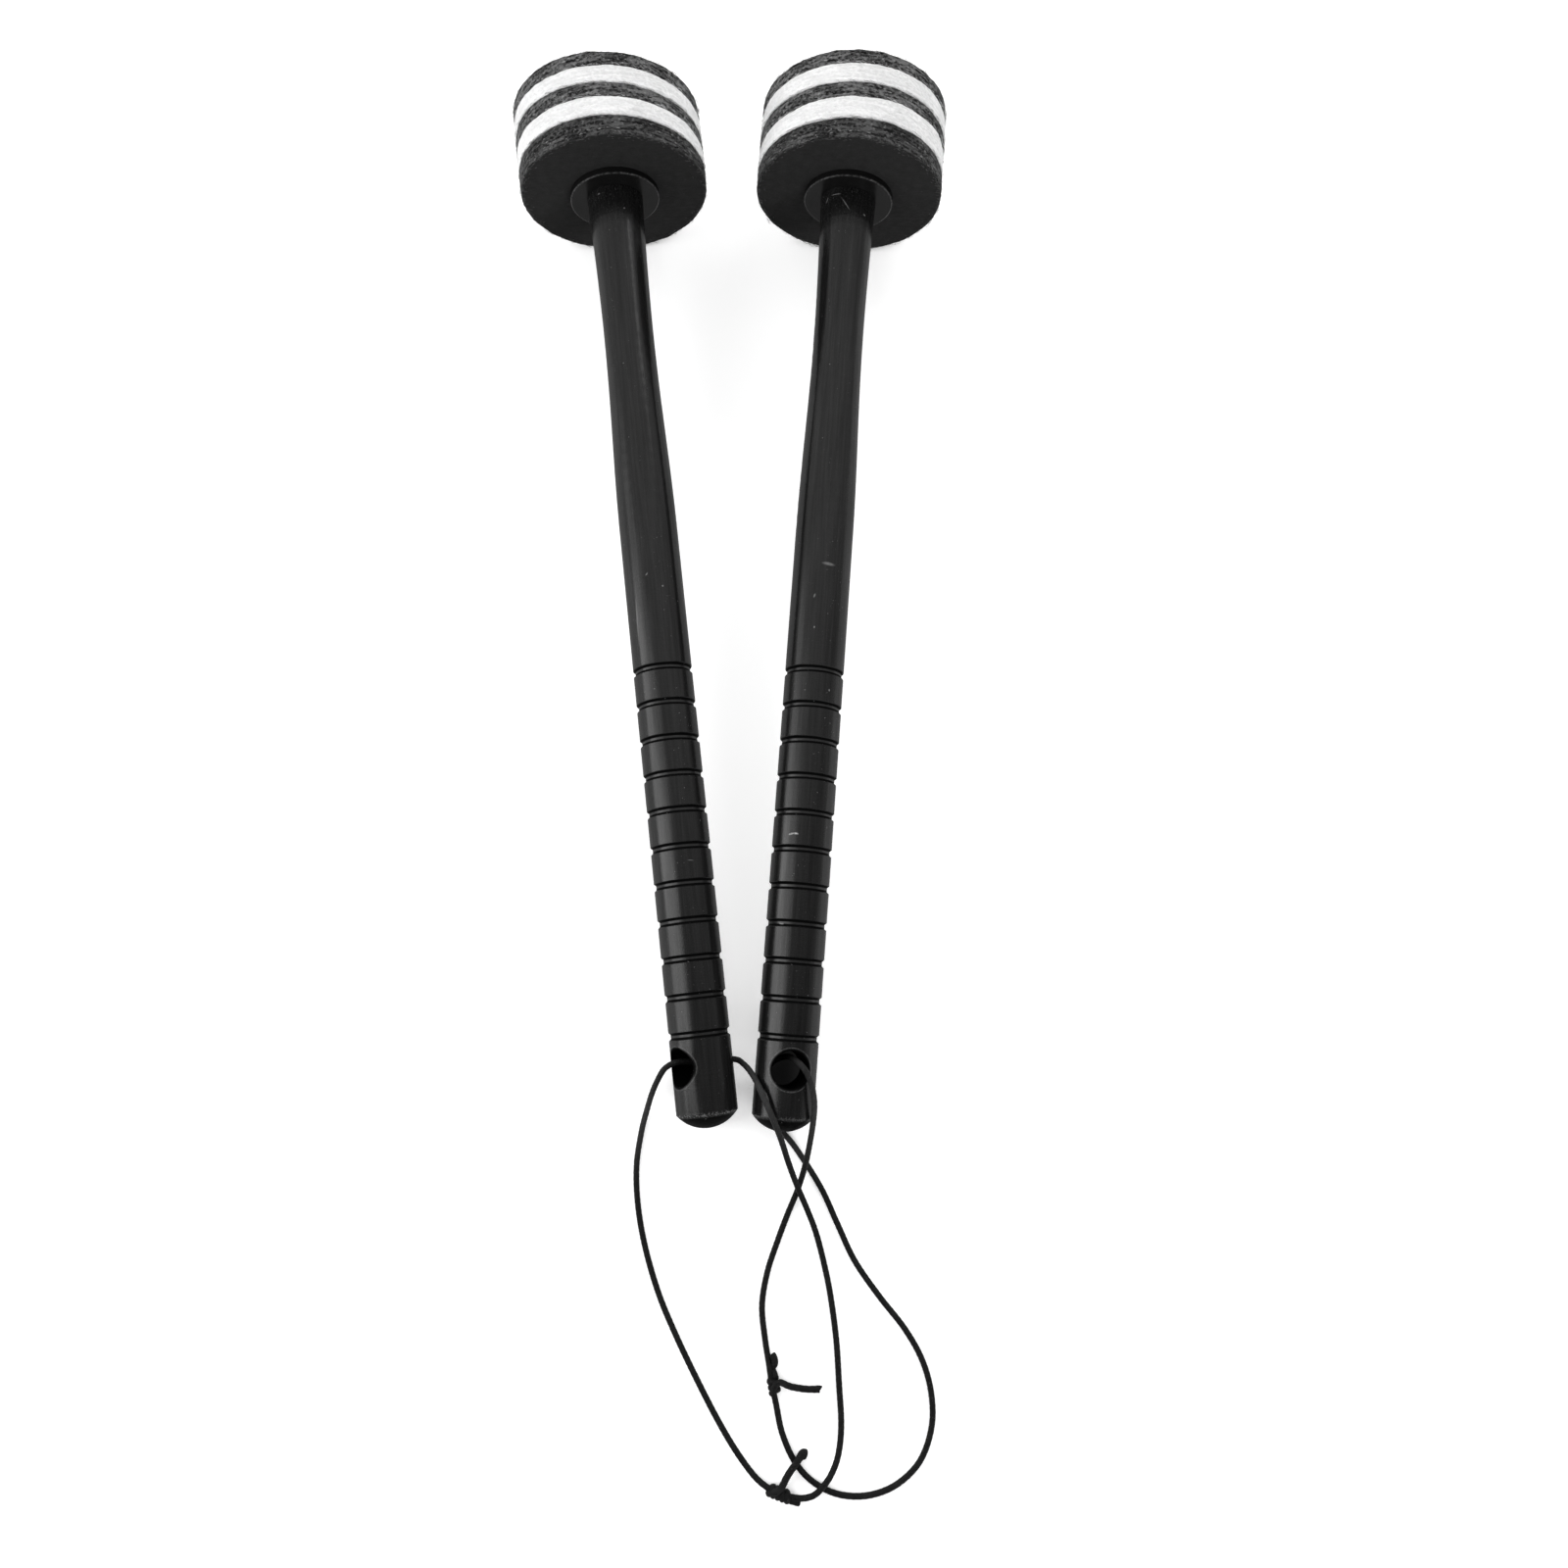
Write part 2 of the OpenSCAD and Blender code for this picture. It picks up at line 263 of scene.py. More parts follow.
# Materials
def stick_place(shader, stick):
    """The place on a stick in millimetres, as a vector and as its parts: across, up and along."""
    place = shader.add("ShaderNodeTexCoord").outputs["Object"]
    parts = []
    for direction in (stick.across, stick.up, stick.along):
        node = shader.add("ShaderNodeVectorMath", operation="DOT_PRODUCT")
        shader.give(node.inputs[0], place)
        node.inputs[1].default_value = direction
        reach = shader.product(node.outputs["Value"], 1 / MM)
        parts.append(shader.math("SUBTRACT", reach, stick.butt.dot(direction)))
    joined = shader.add("ShaderNodeCombineXYZ", {"X": parts[0], "Y": parts[1], "Z": parts[2]})
    return joined.outputs["Vector"], parts


# Turned plastic: the fineness of its noises, per millimetre or per millimetre across, up and along
TOOL_LINES = (0.03, 0.03, 3.2)
DRAWN_LINES = (1.1, 1.1, 0.035)
CLOUDS = (0.25, 0.25, 0.04)
PLASTIC_GRAIN = 3.0
SPECKS = 1.5
DUST_PATCHES = 0.11

# Turned plastic: the noise level at which each pale mark and the painted highlight on the hole's mouths
# begins, and the one at which it is full
DUST_SPECK = (0.73, 0.78)
DUST_PATCH = (0.5, 0.62)
NECK_DUST_GRAIN = (0.6, 0.7)
MARK_GRAIN = (0.35, 0.6)
CHIP_SPECK = (0.52, 0.62)
MOUTH_SPECK = (0.3, 0.6)

# Turned plastic: how pale the marks and the painted highlight on the hole's mouths are
DUST_PALENESS = 0.25
NECK_DUST_PALENESS = 0.12
MARK_LEAST_PALENESS = 0.2
CHIP_PALENESS = {"right": 0.1, "left": 0.25}
MOUTH_PALENESS = 0.12

# Turned plastic: where marks, the painted highlight on the hole's mouths and the painted shade lie (mm),
# with both ends where they fade
NECK_DUST_FROM = 308
MARK_HALF_DEPTH = 4
CHIP_RIM = BUTT_DOME_H - 0.2
CHIP_HALF_W = 0.9
MOUTH_R = HOLE_R + HOLE_CHAMFER + 0.1
MOUTH_HALF_W = 0.25
GRIP_MARGIN = 4
# Painted shade: the grooves' sides, the cord hole's bore and the butt's dome are painted darker
GROOVE_FLOOR_EDGE = (0.28, 0.45)
GROOVE_RIM = (1.05, 1.3)
BORE_PAINTED_SHADE = (HOLE_R + 0.3, HOLE_R + HOLE_CHAMFER)
BUTT_PAINTED_SHADE = (BUTT_DOME_H - 1.2, BUTT_DOME_H - 0.2)
BUTT_PAINTED_SHADE_SHARE = 0.95
GRIP_FADE_L = 3

# Turned plastic: its greys, and how much of them the cuts and the painted shade take
PLASTIC_GREYS = (grey(0.004), grey(0.009))
CUT_GREY = grey(0.02)
CUT_SHARE = 0.5
PAINTED_SHADE_GREY = grey(0.001)
PAINTED_SHADE_SHARE = 0.85
MARK_GREY = grey(0.42)

# Turned plastic: how its gloss varies with the noises
PLASTIC_ROUGHNESS = (0.4, 0.55)
LACQUER = (0.21, 0.168)
DRAWN_WEAR = (0.9, 1.1)
GRAIN_WEAR = (0.86, 1.14)

# Turned plastic: strengths of its bumps, and their heights (m)
TOOL_BUMP = 0.10
DRAWN_BUMP = 0.12
LINE_H = 0.0002
GRIP_BUMP = 0.34
SHAFT_BUMP = 0.05
GRAIN_H = 0.0001

# Scuffs on the tops of the handles, and one painted highlight streak on the left shaft: across, along, half
# width, half length (mm), turn, paleness
SCUFFS_AND_HIGHLIGHT = {
    "right": [
        (2.0, 188, 2.6, 0.7, 0.08, 0.25),
        (-4.0, 95.3, 1.1, 0.4, -0.3, 1.0),
        (-2.6, 95.5, 1.2, 0.4, 0.12, 1.0),
        (-5.0, 66.0, 0.9, 0.3, 0.1, 0.5),
        (-2.0, 176.5, 0.35, 0.9, 0.3, 0.35),
        (-1.3, 165.5, 0.3, 0.5, 0.0, 0.35),
        (5.2, 144.5, 0.3, 0.5, 0.0, 0.5),
        (6.0, 319.5, 0.45, 0.4, 0.0, 0.9),
        (-7.6, 325.0, 0.25, 1.1, 0.3, 0.35),
        (-4.6, 326.0, 2.2, 0.25, 0.1, 0.35),
        (-1.0, 322.0, 0.25, 3.2, -0.6, 0.35),
    ],
    "left": [
        # A painted highlight: the long pale streak along the left shaft
        (-6.5, 168, 0.35, 9.0, 0.03, 0.15),
        (3.3, 179, 0.4, 0.4, 0.0, 0.4),
        (-1.7, 183.5, 0.3, 0.8, 0.6, 0.3),
        (3.2, 85.6, 1.2, 0.2, 0.1, 0.15),
        (3.3, 319.5, 0.4, 0.35, 0.0, 0.6),
        (-5.2, 326.3, 0.5, 0.4, 0.0, 0.4),
    ],
}


def bore_distance(shader, stick, across, up, along):
    """How far a place on a stick is from the middle line of its cord hole."""
    from_across = shader.product(across, math.cos(stick.roll))
    from_up = shader.product(up, math.sin(stick.roll))
    aside = shader.math("SUBTRACT", from_across, from_up)
    ahead = shader.math("SUBTRACT", along, HOLE_FROM_BUTT)
    return shader.hypotenuse(aside, ahead)


def pale_marks(shader, stick, place, along, bore, grain):
    """How pale a handle is: dust, scuffs, chips at the butt's rim, a painted highlight on the mouths of the
    hole and a painted highlight streak on the left shaft.
    """
    specks = shader.noise(place, SPECKS, detail=1.0)
    patches = shader.noise(place, DUST_PATCHES, detail=1.0)
    dust = shader.product(shader.between(specks, *DUST_SPECK), shader.between(patches, *DUST_PATCH))
    neck = shader.between(along, NECK_DUST_FROM, HANDLE_L)
    neck_dust = shader.product(neck, shader.between(grain, *NECK_DUST_GRAIN))
    chips = shader.product(shader.ring(along, CHIP_RIM, CHIP_HALF_W), shader.between(specks, *CHIP_SPECK))
    # A painted highlight on the rims of the hole's mouths, broken by specks
    mouth = shader.product(shader.ring(bore, MOUTH_R, MOUTH_HALF_W), shader.between(specks, *MOUTH_SPECK))
    marks = [
        shader.product(dust, DUST_PALENESS),
        shader.product(neck_dust, NECK_DUST_PALENESS),
        shader.product(chips, CHIP_PALENESS[stick.name]),
        shader.product(mouth, MOUTH_PALENESS),
    ]
    for over, far, half_w, half_l, turn, paleness in SCUFFS_AND_HIGHLIGHT[stick.name]:
        height = math.sqrt(BAR_R ** 2 - over ** 2)
        scuff_and_highlight = shader.patch(place, (over, height, far), (half_w, MARK_HALF_DEPTH, half_l), turn)
        # How pale each patch is, broken by grain; for the left shaft's long streak this is a painted
        # highlight
        rubbed = shader.between(grain, *MARK_GRAIN, MARK_LEAST_PALENESS, paleness)
        marks.append(shader.product(scuff_and_highlight, rubbed))
    return shader.largest(*marks)


def groove_cuts(shader, along):
    """1 in the grip's grooves and 0 outside them, and the same for the grooves' sides alone."""
    grip_middle = (GROOVE_START + GRIP_END) / 2
    grip_half_l = (GRIP_END - GROOVE_START) / 2 + GRIP_MARGIN
    on_grip = shader.math("GREATER_THAN", shader.ring(along, grip_middle, grip_half_l), 0.0)
    from_groove = shader.math("PINGPONG", shader.math("SUBTRACT", along, GROOVE_START), GROOVE_PITCH / 2)
    cuts = shader.product(shader.between(from_groove, *GROOVE_RIM, 1.0, 0.0), on_grip)
    return cuts, shader.product(shader.between(from_groove, *GROOVE_FLOOR_EDGE), cuts)


def handle_plastic(stick):
    """Turned black plastic: rougher on the grip, with fine tool lines, painted shade on the grooves' sides,
    in the bore and on the butt's dome, and pale marks, some of them painted highlights.
    """
    shader = Shader(stick.name + "_turned_plastic")
    place, (across, up, along) = stick_place(shader, stick)
    lines = shader.noise(place, TOOL_LINES, detail=3.0, roughness=0.6)
    draws = shader.noise(place, DRAWN_LINES, detail=4.0, roughness=0.6)
    cloud = shader.noise(place, CLOUDS, detail=4.0, roughness=0.6)
    grain = shader.noise(place, PLASTIC_GRAIN, detail=2.0, roughness=0.6)

    bore = bore_distance(shader, stick, across, up, along)
    pale = pale_marks(shader, stick, place, along, bore, grain)
    cuts, cut_sides = groove_cuts(shader, along)
    # Painted shade in the bore, on the butt's dome and on the grooves' sides: painted near black, and their
    # lacquer is taken away
    bore_shade = shader.between(bore, *BORE_PAINTED_SHADE, 1.0, 0.0)
    butt_shade = shader.between(along, *BUTT_PAINTED_SHADE, BUTT_PAINTED_SHADE_SHARE, 0.0)
    painted_shade = shader.largest(cut_sides, bore_shade, butt_shade)

    colour = shader.mix(shader.vary(draws), *PLASTIC_GREYS)
    colour = shader.mix(shader.product(cuts, CUT_SHARE), colour, CUT_GREY)
    colour = shader.mix(shader.product(painted_shade, PAINTED_SHADE_SHARE), colour, PAINTED_SHADE_GREY)
    shader.set(Base_Color=shader.mix(pale, colour, MARK_GREY), IOR=1.03)
    shader.set(Roughness=shader.vary(cloud, *PLASTIC_ROUGHNESS))
    unshaded_unmarked = shader.math("SUBTRACT", 1.0, shader.largest(painted_shade, pale))
    wear = shader.product(shader.vary(draws, *DRAWN_WEAR), shader.vary(grain, *GRAIN_WEAR))
    lacquer = shader.product(unshaded_unmarked, wear, shader.vary(cloud, *LACQUER))
    shader.set(Coat_Weight=lacquer, Coat_IOR=2.0, Coat_Roughness=0.18)
    turned = shader.bump(lines, TOOL_BUMP, LINE_H)
    drawn = shader.bump(draws, DRAWN_BUMP, LINE_H, turned)
    grain_bump = shader.between(along, GRIP_END, GRIP_END + GRIP_FADE_L, GRIP_BUMP, SHAFT_BUMP)
    surface = shader.bump(grain, grain_bump, GRAIN_H, drawn)
    shader.set(Normal=surface, Coat_Normal=surface)
    return shader.material


# Washer plastic: noises per millimetre, the painted highlight on its rim (mm), its noise levels and shares,
# greys and roughness
WASHER_CLOUDS = 0.16
WASHER_HIGHLIGHT_BREAKS = 1.4
RIM_HIGHLIGHT_R = WASHER_R - 0.25
RIM_HIGHLIGHT_HALF_W = 0.35
HIGHLIGHT_BREAK_LEVELS = (0.38, 0.62)
HIGHLIGHT_BREAK_SHARES = (0.1, 1.0)
RIM_HIGHLIGHT_SHARE = 0.35
RIM_HIGHLIGHT_GREY = grey(0.2)
WASHER_GREYS = (grey(0.005), grey(0.009))
WASHER_ROUGHNESS = (0.14, 0.24)


def washer_plastic(stick):
    """Smooth black plastic, its rim a little paler: a painted highlight."""
    shader = Shader(stick.name + "_washer_plastic")
    place, (across, up, along) = stick_place(shader, stick)
    cloud = shader.noise(place, WASHER_CLOUDS, detail=3.0)
    highlight_breaks = shader.noise(place, WASHER_HIGHLIGHT_BREAKS, detail=3.0)
    edge = shader.math("ADD", shader.hypotenuse(across, up), shader.math("SUBTRACT", HANDLE_L, along))
    broken_highlight = shader.between(highlight_breaks, *HIGHLIGHT_BREAK_LEVELS, *HIGHLIGHT_BREAK_SHARES)
    # A painted highlight along the rim of the washer's near face, broken by noise
    worn = shader.product(shader.ring(edge, RIM_HIGHLIGHT_R, RIM_HIGHLIGHT_HALF_W), broken_highlight, RIM_HIGHLIGHT_SHARE)
    colour = shader.mix(cloud, *WASHER_GREYS)
    shader.set(Base_Color=shader.mix(worn, colour, RIM_HIGHLIGHT_GREY), IOR=1.15)
    shader.set(Roughness=shader.vary(cloud, *WASHER_ROUGHNESS))
    return shader.material


# Plated steel: its noise per metre, colours and roughness
STEEL_CLOUDS = 300.0
STEEL_COLOURS = ((0.5, 0.51, 0.53, 1), (0.62, 0.63, 0.64, 1))
STEEL_ROUGHNESS = (0.28, 0.4)


def plated_steel():
    """Dull plated steel, a little uneven in colour and gloss."""
    shader = Shader("plated_steel")
    place = shader.add("ShaderNodeTexCoord").outputs["Object"]
    cloud = shader.noise(place, STEEL_CLOUDS, detail=3.0)
    shader.set(Base_Color=shader.mix(cloud, *STEEL_COLOURS), Metallic=1.0)
    shader.set(Roughness=shader.vary(cloud, *STEEL_ROUGHNESS))
    return shader.material


# Felt: the fineness of its noises, per millimetre or per millimetre round and through a disc
FELT_FIBRES = (0.45, 1.1, 1)
FELT_LAYERS = (0.07, 0.8, 1)
FELT_SALT = (0.8, 1.1, 1)
FELT_LINT = (0.6, 1.3, 1)
FELT_GRAIN = 4.0
FELT_BLOTCHES = 0.35
FELT_TONES = 0.12

# Felt: how the noises join, and the levels and shares that they are carried between
LAYER_SHARE = 0.55
SALT_SHARE = 0.4
MOTTLE_LEVELS = (0.45, 0.555)
TONE_LEVELS = (0.38, 0.62)
TONE_SHARES = (0.6, 1.3)
LINT_LEVELS = (0.59, 0.68)
WORN_LEVELS = (0.35, 0.65)
BLOTCH_SHARES = (0.4, 1.0)
RAGGED_REACH = 0.45
RIM_LEVELS = (0.35, 0.6)

# Felt: strengths of its bumps, and their heights (m)
STREAK_BUMP = 0.9
STREAK_H = 0.0009
FELT_GRAIN_BUMP = 0.5
FELT_GRAIN_H = 0.00025


def felt(name, face_levels, wall_levels, lint_level, lint_share):
    """Pressed wool: a smooth rolled face, and a cut wall with fibres and lint running round it."""
    shader = Shader(name)
    place = shader.add("ShaderNodeUVMap", uv_map="felt").outputs["UV"]
    wall = shader.add("ShaderNodeAttribute", attribute_name="wall").outputs["Fac"]
    fibres = shader.noise(place, FELT_FIBRES, detail=4.0, roughness=0.65)
    layers = shader.noise(place, FELT_LAYERS, detail=3.0, roughness=0.6)
    salt = shader.noise(place, FELT_SALT, detail=3.0, roughness=0.65)
    lint = shader.noise(place, FELT_LINT, detail=3.0, roughness=0.65)
    grain = shader.noise(place, FELT_GRAIN, detail=3.0, roughness=0.6)
    blotch = shader.noise(place, FELT_BLOTCHES, detail=3.0, roughness=0.6)
    tone = shader.noise(place, FELT_TONES, detail=2.0)

    streaks = shader.blend(fibres, layers, LAYER_SHARE)
    mottle = shader.blend(streaks, salt, SALT_SHARE)
    toned = shader.between(tone, *TONE_LEVELS, *TONE_SHARES)
    shade = shader.product(shader.between(mottle, *MOTTLE_LEVELS), toned)
    wall_colour = shader.mix(shade, grey(wall_levels[0]), grey(wall_levels[1]))
    linty = shader.between(lint, *LINT_LEVELS, 0.0, lint_share)
    wall_colour = shader.mix(linty, wall_colour, grey(lint_level))
    worn = shader.product(shader.between(grain, *WORN_LEVELS), shader.vary(blotch, *BLOTCH_SHARES))
    face_colour = shader.mix(worn, grey(face_levels[0]), grey(face_levels[1]))
    ragged = shader.math("ADD", wall, shader.vary(fibres, -RAGGED_REACH, RAGGED_REACH))
    shader.set(Base_Color=shader.mix(shader.between(ragged, *RIM_LEVELS), face_colour, wall_colour))
    shader.set(Roughness=0.95, Specular_IOR_Level=0.08)
    deep = shader.bump(streaks, STREAK_BUMP, STREAK_H)
    shader.set(Normal=shader.bump(grain, FELT_GRAIN_BUMP, FELT_GRAIN_H, deep))
    return shader.material


# Loose fibres: their noise per metre, and how far it takes their grey down and up
FIBRE_CLOUDS = 900.0
FIBRE_DARK = 0.7
FIBRE_PALE = 1.2


def fibre(name, level):
    """Loose wool fibres, some darker and some paler than their level of grey."""
    shader = Shader(name)
    place = shader.add("ShaderNodeTexCoord").outputs["Object"]
    cloud = shader.noise(place, FIBRE_CLOUDS, detail=1.0)
    shader.set(Base_Color=shader.mix(cloud, grey(level * FIBRE_DARK), grey(level * FIBRE_PALE)))
    shader.set(Roughness=0.8, Specular_IOR_Level=0.2)
    return shader.material


# Cord lengths (mm): hole to the most rubbed place, the rub's spread, half a loop, and hole to knot
CORD_RUB_FROM_HOLE = 30
CORD_RUB_SPREAD = 24
CORD_HALF_L = 166.5
KNOT_FROM_HOLE = 110

# Cord: the fineness of its noises, per millimetre or per millimetre round and along
CORD_LAY = (2.6, 0.35, 1)
CORD_BLOTCHES = (0.2, 0.12, 1)
CORD_FLECKS = 2.2

# Cord: the levels and shares that the noises are carried between, its greys, roughness and bump height (m)
LAY_LEVELS = (0.35, 0.68)
BLOTCH_LEVELS = (0.55, 0.75)
BLOTCH_SHARE = 0.4
RUB_SHARES = (0.3, 1.0)
FLECK_LEVELS = (0.72, 0.78)
FLECK_SHARE = 0.5
CORD_GREYS = (grey(0.003), grey(0.011))
BLOTCH_GREY = grey(0.016)
RUB_GREY = grey(0.04)
FLECK_GREY = grey(0.16)
CORD_ROUGHNESS = (0.5, 0.65)
LAY_BUMP = 0.5
LAY_H = 0.0002


def waxed_cord():
    """Twisted cord, dulled with wax, rubbed paler beside its hole and flecked with dust."""
    shader = Shader("waxed_cord")
    place = shader.add("ShaderNodeUVMap", uv_map="cord").outputs["UV"]
    lay = shader.noise(place, CORD_LAY, detail=4.0, roughness=0.65)
    blotch = shader.noise(place, CORD_BLOTCHES, detail=2.0)
    flecks = shader.noise(place, CORD_FLECKS, detail=1.0)
    along = shader.add("ShaderNodeSeparateXYZ", {"Vector": place}).outputs["Y"]
    from_hole = shader.math("PINGPONG", along, CORD_HALF_L)
    rubbed = shader.ring(from_hole, CORD_RUB_FROM_HOLE, CORD_RUB_SPREAD)
    rubbed = shader.product(rubbed, shader.vary(lay, *RUB_SHARES))
    flecked = shader.between(flecks, *FLECK_LEVELS, 0.0, FLECK_SHARE)
    colour = shader.mix(shader.between(lay, *LAY_LEVELS), *CORD_GREYS)
    colour = shader.mix(shader.between(blotch, *BLOTCH_LEVELS, 0.0, BLOTCH_SHARE), colour, BLOTCH_GREY)
    colour = shader.mix(rubbed, colour, RUB_GREY)
    shader.set(Base_Color=shader.mix(flecked, colour, FLECK_GREY))
    shader.set(Roughness=shader.vary(blotch, *CORD_ROUGHNESS), IOR=1.14)
    shader.set(Normal=shader.bump(lay, LAY_BUMP, LAY_H))
    return shader.material


STEEL = plated_steel()
BLACK_FACE = (0.013, 0.032)
NEAR_FELT = felt("near_black_felt", BLACK_FACE, wall_levels=(0.005, 0.088), lint_level=0.25, lint_share=0.85)
BLACK_FELT = felt("black_felt", BLACK_FACE, wall_levels=(0.006, 0.165), lint_level=0.36, lint_share=0.85)
WHITE_FELT = felt("white_felt", (0.78, 0.86), wall_levels=(0.74, 0.89), lint_level=0.90, lint_share=0.5)
BLACK_FIBRE = fibre("black_fibre", 0.07)
WHITE_FIBRE = fibre("white_fibre", 0.84)
LINT = fibre("lint", 0.2)
CORD_BLACK = waxed_cord()


# Camera: frame width and focal length (pixels), sensor width, place from the cords' start (mm), and turns
PHOTO_W = 1600
FOCAL_PIXELS = 1316.7
SENSOR_W = 36
CAMERA_PLACE = Vector((5.77, 9.69, 439.24))
CAMERA_TURNS = [("Z", -0.0171), ("X", 0.2386), ("Y", -0.0166)]


def add_camera():
    """A camera where the photograph was taken from."""
    data = bpy.data.cameras.new("camera")
    data.sensor_width = SENSOR_W
    data.lens = SENSOR_W * FOCAL_PIXELS / PHOTO_W
    data.clip_start = 0.01
    camera = bpy.data.objects.new("camera", data)
    scene.collection.objects.link(camera)
    turned = Matrix.Identity(4)
    for axis, angle in CAMERA_TURNS:
        turned = turned @ Matrix.Rotation(angle, 4, axis)
    camera.matrix_world = Matrix.Translation((CORD_START + CAMERA_PLACE) * MM) @ turned
    scene.camera = camera


add_camera()


# Wrist cords: routes from a point on the table about midway between the butts, in millimetres
LEFT_ROUTE = [
    (-13.6, 21.6, 11.2), (-18.4, 21.6, 12.6), (-22.2, 21.3, 13.4), (-25.6, 19.6, 12.1), (-28, 16.4, 8.8),
    (-30.2, 12.2, 5.3), (-32.2, 6.6, 2.5), (-34.1, -0.5, 1.2), (-35.6, -11, 1), (-35.1, -23, 1),
    (-32.7, -36, 1), (-28.4, -50, 1), (-22.9, -62.6, 1), (-16.6, -75.2, 1), (-10.4, -86.7, 1),
    (-4.9, -95.7, 1), (0.4, -102.8, 1.1), (4.3, -106.3, 1.6), (8.8, -108.6, 2.2), (14.6, -110, 2.4),
    (19, -109.4, 2.9), (22, -107.1, 3.3), (25, -103.5, 2.9), (27.4, -98.2, 1.8), (28.6, -90, 1.1),
    (28.3, -78, 1), (27.8, -65, 1), (26.3, -51.5, 1), (24.3, -41, 1), (22.1, -32.4, 1.5),
    (19.4, -25.2, 3.5), (16.7, -18.8, 6.9), (13.9, -11.2, 11.9), (11.5, -3.6, 17.3), (9.4, 2, 21),
    (7.3, 7, 21.2), (5.2, 12, 19.5), (2.7, 16.9, 15.8), (-0.2, 20.5, 11.4), (-3.7, 22.2, 9),
]
RIGHT_ROUTE = [
    (11.6, 22.2, 9.2), (14.4, 22.4, 14.6), (17, 20.8, 18.8), (19.6, 17.6, 20.5), (21.4, 13.2, 19.2),
    (22.2, 7.6, 17.3), (21.7, 1.6, 15), (20.7, -4.4, 11.5), (19.5, -10.2, 7.7), (18, -15.4, 4.6),
    (16.2, -20.4, 2.4), (13.4, -26.6, 1.2), (10, -34.7, 1), (6.4, -44.4, 1), (4.5, -54.5, 1),
    (5.3, -64.5, 1.2), (6.3, -71, 1.8), (7.2, -77.4, 2.2), (8.4, -83.4, 1.5), (10.2, -92.1, 1),
    (14.1, -100.4, 1), (19.8, -106.2, 1), (27.6, -109.7, 1), (36.6, -110.1, 1), (45.4, -107.2, 1),
    (52.8, -100.8, 1), (56.8, -91.4, 1), (57.2, -81.6, 1), (54.8, -71.8, 1), (49.7, -62.5, 1),
    (41.8, -52.4, 1), (34.4, -41.6, 1), (29.2, -30.2, 1), (24.2, -19, 1), (16.9, -7.3, 1),
    (12.4, -1.8, 1), (8.2, 1.1, 1), (5.2, 5.4, 1), (6, 15, 1), (8.8, 20.6, 3.4),
]
LEFT_KNOT = (8.8, -108.6, 2.1)
RIGHT_KNOT = (7.8, -77.8, 2.2)
LEFT_STUB = [(15.2, -111.5, 1.2), (13.2, -111, 1.5), (11.2, -110.3, 1.9)]
LEFT_TAIL = [
    (8.1, -107.6, 4), (9.7, -106.4, 3.7), (11, -104.2, 3.5), (12.4, -102.2, 3.4), (14.2, -100.1, 3.3),
    (15.4, -98.6, 2.7), (16.4, -97.8, 2), (17.2, -98, 1.6),
]
RIGHT_STUB = [(7.3, -68.6, 2.2), (8.2, -70.2, 2.5), (8.2, -71.6, 2.4), (7.5, -73, 1.4)]
RIGHT_TAIL = [
    (8.3, -77.5, 4.1), (9.8, -76.8, 3.5), (11, -77.4, 2.5), (12.5, -78.2, 1.8), (14.6, -78.8, 1.4),
    (18.2, -79.4, 1.1), (22.4, -79.5, 1.1),
]


def smooth_curve(points, step, closed):
    """Points about a step apart on a smooth curve through the given ones, none below the table."""
    points = [Vector(point) for point in points]
    count = len(points)
    spans = count if closed else count - 1

    def at(index):
        if closed:
            return points[index % count]
        return points[max(0, min(count - 1, index))]

    curve = []
    for span in range(spans):
        before, start, end, after = (at(span + offset) for offset in (-1, 0, 1, 2))
        parts = max(2, round((end - start).length / step))
        for part in range(parts):
            t = part / parts
            bend = start * 2 + (end - before) * t
            bend += (before * 2 - start * 5 + end * 4 - after) * t ** 2
            bend += (start * 3 - before - end * 3 + after) * t ** 3
            curve.append(bend / 2)
    curve.append(at(spans).copy())
    for point in curve:
        point.z = max(point.z, CORD_D / 2)
    return curve


# Cords: sides of a tube, its strands, how far they rise, the length of a turn and of a swollen end (mm)
TUBE_SIDES = 12
STRANDS = 3
STRAND_RELIEF = 0.03
LAY_L = 5.5
SWELL_L = 3.2

# Directions: one that no route starts along, and straight up
SIDEWAYS = Vector((0.3, 0.1, 1))
UPWARD = Vector((0, 0, 1))

# Cords: the step along a loop and along a knot, a knot turn's radius (mm) and steps, and its ends' thickness
CORD_STEP = 0.7
KNOT_STEP = 0.35
KNOT_TURN_R = 1.0
KNOT_TURN_STEPS = 14
KNOT_ENDS = (0.75, 0.85)


